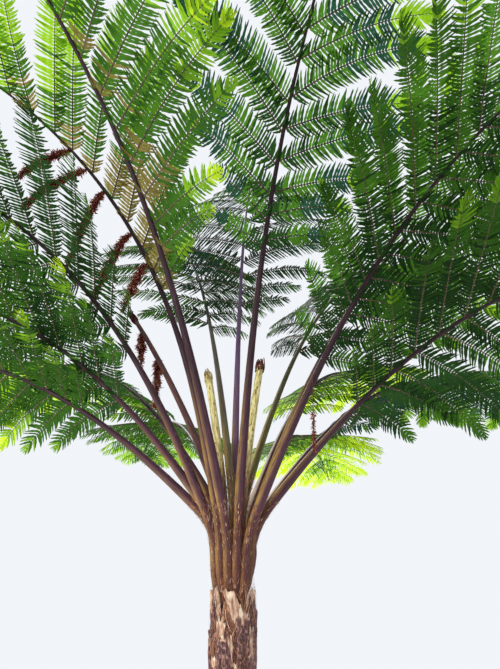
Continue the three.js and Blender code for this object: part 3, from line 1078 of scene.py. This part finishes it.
def make_blade(frond, leaflet, leaf_materials, rib_material):
    """All the leaflets of one frond as a piece, and the thin ribs that carry them as another."""
    sides = ([], [])
    tones = []
    ribs = []
    for s in pinna_places(frond):
        for hand in (1, -1):
            if hand == -1 and frond.get("right") == 0:
                continue
            shifted = s + hand * rng.uniform(*PINNA_SHIFTS)
            places, up, length, u = pinna_curve(frond, shifted, hand)
            rows, v = leaflet_rows(places, up, length)
            for side, row in zip(sides, rows):
                side.append(row)
            tones.append(leaflet_tones(frond, u, v))
            thick = np.linspace(PINNA_RIB, PINNA_RIB_TIP, PINNA_STEPS) * min(1, SHORT_RIB_SHARE + length)
            ribs.append(tube(places, thick))
    left, right = [[np.concatenate(rows) for rows in zip(*side)] for side in sides]
    points, faces = join([tile(mirrored(leaflet), *left), tile(leaflet, *right)])
    tones = np.repeat(np.tile(np.concatenate(tones), 2), len(leaflet[1]))
    leaves = add_piece("leaflets_" + frond["name"], points, faces, leaf_materials, tones)
    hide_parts("blade_" + frond["name"])
    points, faces = join(ribs)
    stems = add_piece("pinna_ribs_" + frond["name"], points, faces, [rib_material])
    return leaves, stems


# Dead pinnae


def make_dead_pinna(number, row, fronds, withered, looks):
    """One dead pinna: a bent rib whose dry leaflets have curled up round it like a frayed rope."""
    frond = next(f for f in fronds if f["name"] == row["frond"])
    point, forward, side, up = (v[0] for v in spine(frond, row["along"]))
    rib = float(rib_radius(frond, np.array([row["along"]]))[0])
    knots = np.linspace(0, 1, DEAD_STEPS)
    ahead = row.get("ahead", 0)
    out = DEAD_OUT * rib + row["swing"] * knots
    drop = DEAD_UNDER * rib + row["hang"] * knots ** 2
    places = point - side * out[:, None] - UP * drop[:, None] + forward * (ahead * knots)[:, None]
    share = row.get("radius", DEAD_RADIUS) / DEAD_RADIUS
    core = tube(places, np.linspace(DEAD_RIB, DEAD_RIB_TIP, DEAD_STEPS) * share, DEAD_RIB_SIDES)
    reach = math.hypot(row["hang"], row["swing"], ahead)
    bare = row.get("bare", 0)
    count = int(reach * (1 - bare) * DEAD_LEAFLETS_A_METRE * mix(DEAD_THIN, 1, share))
    v = np.sort(rng.uniform(bare, DEAD_LAST, count))
    at = follow(knots, places, v)
    rope = direction(knots, places, v, DEAD_REACH)
    level = unit(np.cross(rope, ROPE_OVER + rng.normal(0, ROPE_OVER_SPREAD, 3)))
    above = np.cross(level, rope)
    spin = rng.uniform(0, 2 * math.pi, count)[:, None]
    away = towards(level, above, spin)
    opening = np.radians(rng.uniform(*DEAD_OPENING, count))[:, None]
    along = unit(towards(rope, away, opening) + rng.normal(0, DEAD_TOUSLE, (count, 3)) - UP * DEAD_FALL)
    across = unit(np.cross(along, away) + rng.normal(0, DEAD_TURNING, (count, 3)))
    across = square_to(along, across)
    normal = np.cross(along, across)
    thick = mix(DEAD_END_SHARE, 1, np.sin(math.pi * v) ** DEAD_END_POWER) * share
    clumps = mix(DEAD_CLUMP, 1, np.sin(v * reach * DEAD_CLUMP_RHYTHM + number))
    off = (DEAD_RADIUS * thick * clumps * rng.uniform(*DEAD_OFF, count))[:, None]
    lengths = rng.uniform(*DEAD_LENGTHS, count) * mix(DEAD_SHORT, 1, thick)
    widths = rng.uniform(*DEAD_WIDTHS, count) * mix(DEAD_THIN, 1, thick)
    strips = tile(withered, at + away * off, along, across, normal, lengths, widths)
    points, faces = join([core, strips])
    kinds = rng.choice(len(looks), count, p=DEAD_ODDS)
    colours = np.concatenate([np.full(len(core[1]), 0), np.repeat(kinds, len(withered[1]))])
    piece = add_piece("dead_pinna_%d_leaves" % number, points, faces, looks, colours)
    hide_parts("dead_pinna_%d" % number)
    return piece


# Trunk


def bark_radius(z):
    """Radius of the trunk without its shoulder, as the old stalk bases stand on it."""
    return TRUNK_RADIUS + (FOOT_RADIUS - TRUNK_RADIUS) * np.exp(-z / FLARE_HEIGHT)


def trunk_radius(z):
    column = mix(bark_radius(z), HEAD_RADIUS, smooth(z, SHOULDER_LOW, SHOULDER_HIGH))
    dome = np.clip((z - DOME_LOW) / (TRUNK_TIP - DOME_LOW), 0, 1)
    return column * np.maximum(TIP_BLUNT, np.sqrt(1 - dome ** 2))


def make_trunk(look):
    """The trunk's column, with shallow ridges and matted lumps."""
    piece = cut_cylinder(BARK_SIDES, BARK_CUTS, "TRIFAN")
    bpy.ops.object.mode_set(mode="OBJECT")
    points = np.array([corner.co for corner in piece.data.vertices])
    z = (points[:, 2] + 0.5) * TRUNK_TIP
    turn = np.arctan2(points[:, 1], points[:, 0])
    middle = np.hypot(points[:, 0], points[:, 1])
    fade = 1 - smooth(z, SHOULDER_LOW - SHEATH, SHOULDER_HIGH)
    radius = trunk_radius(z) * (1 + LOBE_DEPTH * fade * np.cos(LOBES * turn + z / LOBE_PITCH))
    sway = BARK_SWAY * np.sin(BARK_SWAY_UP * z + BARK_SWAY_ROUND * turn)
    ridges = np.abs(np.sin(BARK_RIDGES / 2 * turn + sway + BARK_TWIST * z)) ** BARK_ROUNDNESS
    relief = BARK_DEPTH * (ridges - 1)
    around = np.column_stack([np.cos(turn), np.sin(turn)]) * TRUNK_RADIUS
    for scale, height in BARK_LUMPS:
        bumps = [noise.noise(Vector((x * scale, y * scale, h * scale * LUMP_STRETCH)))
                 for (x, y), h in zip(around, z)]
        relief = relief + height * np.array(bumps)
    radius = radius + relief
    moved = np.column_stack([CROWN_X * z / TRUNK_TIP + radius * middle * np.cos(turn),
                             radius * middle * np.sin(turn), z])
    piece.data.vertices.foreach_set("co", moved.astype(np.float32).ravel())
    piece.data.update()
    piece.data.materials.append(look)
    piece.name = "trunk_bark"
    bpy.ops.object.select_all(action="DESELECT")
    piece.select_set(True)
    bpy.ops.object.shade_smooth()
    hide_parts("trunk")
    return piece


def on_trunk(turn, z, proud):
    """Places on the trunk's bark at those turns and heights, and the ways out of it."""
    radius = bark_radius(z) + proud
    out = np.stack([np.cos(turn), np.sin(turn), np.zeros_like(turn)], axis=-1)
    place = out * radius[..., None]
    place[..., 0] += CROWN_X * z / TRUNK_TIP
    place[..., 2] = z
    return place, out


def old_base(turn, low, tall, wide, torn, proud):
    """One old stalk base: a slab that stands out towards its ragged top, torn open above."""
    across = np.linspace(-1, 1, BASE_COLUMNS)[None, :]
    t = np.linspace(0, 1, BASE_ROWS)[:, None]
    teeth = rng.uniform(-1, 1, BASE_COLUMNS)[None, :]
    z = low + tall * (t + BASE_TEETH * teeth * t ** 5)
    wave = 1 + BASE_WAVE * np.sin(BASE_WAVES * t + low * BASE_WAVE_SHIFT)
    half = wide / 2 * mix(BASE_FOOT, 1, smooth(t, 0, BASE_FULL)) * wave
    slope = rng.normal(0, BASE_SLOPE)
    angle = math.radians(turn) + (across * half + slope * tall * (t - 0.5)) / TRUNK_RADIUS
    round_out = mix(BASE_EDGE, 1, 1 - across ** 2)
    lip = BASE_LIP * rng.uniform(*BASE_LIP_SHARES) * t ** 4
    bulge = proud * smooth(t, 0, BASE_STANDS) * round_out + lip
    opened = smooth((t - 1) / (torn + TORN_LEAST) + 1 + TORN_TEETH * teeth, *TORN_EDGE) * (torn > 0)
    opened = opened * (1 - TORN_SIDES * across ** 4)
    outer, _ = on_trunk(angle, z, CLEAR + bulge - BASE_HOLLOW * opened * (1 - across ** 2))
    inner, _ = on_trunk(angle, z, bulge - BASE_WALL - proud * BASE_SUNK)
    numbers = np.concatenate([opened, opened[:, ::-1]], axis=1)
    return loft(np.concatenate([outer, inner[:, ::-1]], axis=1)), numbers.ravel()


def make_old_bases(look):
    """The stalk bases of past years, up the whole trunk."""
    rows = [dict(row, proud=FRONT_PROUD) for row in FRONT_BASES]
    for number in range(BASE_COUNT):
        low = rng.uniform(0, 1) ** BASE_CROWDING * BASE_SPAN + BASE_LOWEST
        rows.append(dict(turn=number * GOLDEN_ANGLE + rng.normal(0, TURN_SPREAD), low=low,
                         tall=rng.uniform(*BASE_TALL),
                         wide=rng.uniform(*BASE_WIDE) * float(bark_radius(low)) / TRUNK_RADIUS,
                         torn=float(rng.choice(BASE_TORN, p=BASE_TORN_ODDS)),
                         proud=rng.uniform(*BASE_PROUD)))
    made = [old_base(**row) for row in rows]
    points, faces = join([part for part, _ in made])
    piece = add_piece("old_stalk_bases", points, faces, [look], smooth_faces=False,
                      numbers={"torn": np.concatenate([numbers for _, numbers in made])})
    return piece


def make_fibres(looks, count, low, tall, slope, bend, off, width, odds):
    """Loose fibres that run up the trunk and stand off it a little."""
    t = np.linspace(0, 1, FIBRE_STEPS)[None, :]
    turn = rng.uniform(0, 2 * math.pi, count)[:, None]
    low = rng.uniform(*low, count)[:, None]
    tall = rng.uniform(*tall, count)[:, None]
    slope = rng.normal(0, slope, count)[:, None]
    bend = rng.normal(0, bend, count)[:, None]
    off = rng.uniform(*off, count)[:, None]
    z = low + tall * t
    angle = turn + (slope * t + bend * t * t) * tall / TRUNK_RADIUS
    place, out = on_trunk(angle, z, CLEAR + off * np.sin(math.pi * mix(*FIBRE_PART, t)))
    round_way = np.stack([-out[..., 1], out[..., 0], np.zeros_like(angle)], axis=-1)
    width = (width * (1 - FIBRE_TAPER * t))[..., None]
    strips = np.stack([place + round_way * width, place - round_way * width], axis=2)
    first = 2 * (FIBRE_STEPS * np.arange(count)[:, None] + np.arange(FIBRE_STEPS - 1)[None, :])
    faces = np.stack([first, first + 2, first + 3, first + 1], axis=-1).reshape(-1, 4)
    kinds = np.repeat(rng.choice(len(looks), count, p=odds), FIBRE_STEPS - 1)
    piece = add_piece("trunk_fibres", strips.reshape(-1, 3), faces, looks, kinds)
    return piece


def make_scales(fronds, looks, count, span, crowding, spread, lift, long, wide, odds):
    """Thin pointed scales on the feet of the stalks, most of them at their sides."""
    frames = []
    for frond in fronds:
        s = mix(*span, rng.uniform(0, 1, count) ** crowding)
        turn = (rng.choice((0, math.pi), count) + rng.normal(0, spread, count))[:, None]
        place, out, forward = on_stalk(frond, s, turn)
        lifted = np.radians(rng.uniform(*lift, count))[:, None]
        along = towards(forward, out, lifted)
        across, normal = flat_on(out, along)
        lengths = rng.uniform(*long, count)
        widths = rng.uniform(*wide, count)
        frames.append((place, along, across, normal, lengths, widths))
    frames = [np.concatenate(rows) for rows in zip(*frames)]
    points, faces = tile((SCALE_POINTS, SCALE_FACES), *frames)
    kinds = np.repeat(rng.choice(len(looks), len(frames[0]), p=odds), len(SCALE_FACES))
    piece = add_piece("stalk_scales", points, faces, looks, kinds)
    return piece


def make_torn_end(frond, splinter, look, slot, count, below, scatter, inwards, flare, long, wide):
    """Ragged splinters on the broken top of a stalk."""
    s = frond["length"] - below + rng.uniform(-scatter, scatter, count)
    turn = rng.uniform(0, 2 * math.pi, count)[:, None]
    place, out, forward = on_stalk(frond, s, turn, rng.uniform(*inwards, count)[:, None])
    along = unit(forward + out * rng.uniform(*flare, count)[:, None])
    across, normal = flat_on(out, along)
    lengths = rng.uniform(*long, count)
    widths = rng.uniform(*wide, count)
    points, faces = tile(splinter, place, along, across, normal, lengths, widths)
    piece = add_piece("torn_end_" + frond["name"], points, faces, [look])
    return piece


# Camera, light and floor


def add_camera():
    data = bpy.data.cameras.new("photo_camera")
    data.sensor_fit = "VERTICAL"
    data.sensor_height = SENSOR
    data.lens = SENSOR / 2 / math.tan(math.radians(FIELD / 2))
    camera = bpy.data.objects.new("photo_camera", data)
    camera.location = EYE
    camera.rotation_euler = (math.radians(90 + TILT), 0, 0)
    bpy.context.scene.collection.objects.link(camera)
    bpy.context.scene.camera = camera


def add_light(name, kind, place, aim, power, size, colour):
    data = bpy.data.lights.new(name, kind)
    data.energy = power
    data.color = colour
    if kind == "AREA":
        data.shape = "SQUARE"
        data.size = size
    else:
        data.angle = size
    light = bpy.data.objects.new(name, data)
    light.location = place
    light.rotation_euler = (Vector(aim) - Vector(place)).to_track_quat("-Z", "Y").to_euler()
    bpy.context.scene.collection.objects.link(light)


def add_surroundings():
    bpy.context.scene.view_settings.view_transform = "Standard"
    world = bpy.data.worlds.new("pale_studio")
    bpy.context.scene.world = world
    world.use_nodes = True
    sky = world.node_tree.nodes["Background"]
    sky.inputs["Color"].default_value = SKY_COLOUR
    sky.inputs["Strength"].default_value = SKY_STRENGTH
    add_light("key", "SUN", place=(-3, 3, 8), aim=(0, 0, 2.5), power=5.0, size=math.radians(9),
              colour=(1, 0.97, 0.9))
    add_light("low_left", "AREA", place=(-4.5, -4.5, 2.2), aim=(0, 0, 2.2), power=260, size=2.6,
              colour=(1, 0.95, 0.88))
    start_model(bpy.ops.mesh.primitive_plane_add, size=FLOOR_SIZE)
    bpy.ops.object.mode_set(mode="OBJECT")
    floor = bpy.context.object
    floor.name = "floor"
    floor.data.materials.append(floor_look())


add_camera()
add_surroundings()

curve = LEAFLET_CURVE * LEAFLET_LENGTH / LEAFLET_WIDTH
leaflet = strip_model(LEAFLET_CELLS, leaflet_outline, (curve, LEAFLET_FALL), LEAFLET_LIFT)
withered = strip_model(WITHERED_CELLS, withered_outline, WITHERED_BEND, WITHERED_LIFT)
stem = stem_model()
fronds = all_fronds()
leaf_materials = [leaf_look("leaf_" + tone, *colours) for tone, colours in TONES.items()]
rib_material = fibre_look("pinna_rib")
skins = {name: stalk_look(name, *colours) for name, colours in SKINS.items()}
stub_skin = stub_look()
dead_skin = dead_stalk_look()

pieces = []
for frond in fronds:
    if frond.get("stub"):
        pieces.append(make_stalk(frond, stem, stub_skin))
    elif frond.get("dead"):
        pieces.append(make_stalk(frond, stem, dead_skin))
    else:
        pieces.append(make_stalk(frond, stem, skins[frond.get("skin", "purple")]))
        pieces += make_blade(frond, leaflet, leaf_materials, rib_material)

dead_looks = [leaf_look(name, *colours, DEAD_THROUGH) for name, colours in DEAD_TONES.items()]
for number, row in enumerate(DEAD_PINNAE, 1):
    pieces.append(make_dead_pinna(number, row, fronds, withered, dead_looks))

pieces.append(make_trunk(bark_look()))
pieces.append(make_old_bases(base_look()))
fibre_looks = [fibre_look("fibre_" + tone) for tone in ("brown", "rust", "pale")]
pieces.append(make_fibres(fibre_looks, **FIBRES))
pieces.append(make_scales(fronds, fibre_looks, **SCALES))
splinter_looks = {
    "left": fibre_look("splinter_pale"),
    "right": fibre_look("splinter_dark"),
    "dead": dead_looks[0],
}
for frond in fronds:
    if frond["name"] in splinter_looks:
        slot = "dead_stalk" if frond.get("dead") else "stub"
        look = splinter_looks[frond["name"]]
        pieces.append(make_torn_end(frond, withered, look, slot, **SPLINTERS))

for piece in pieces:
    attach(piece, "root")
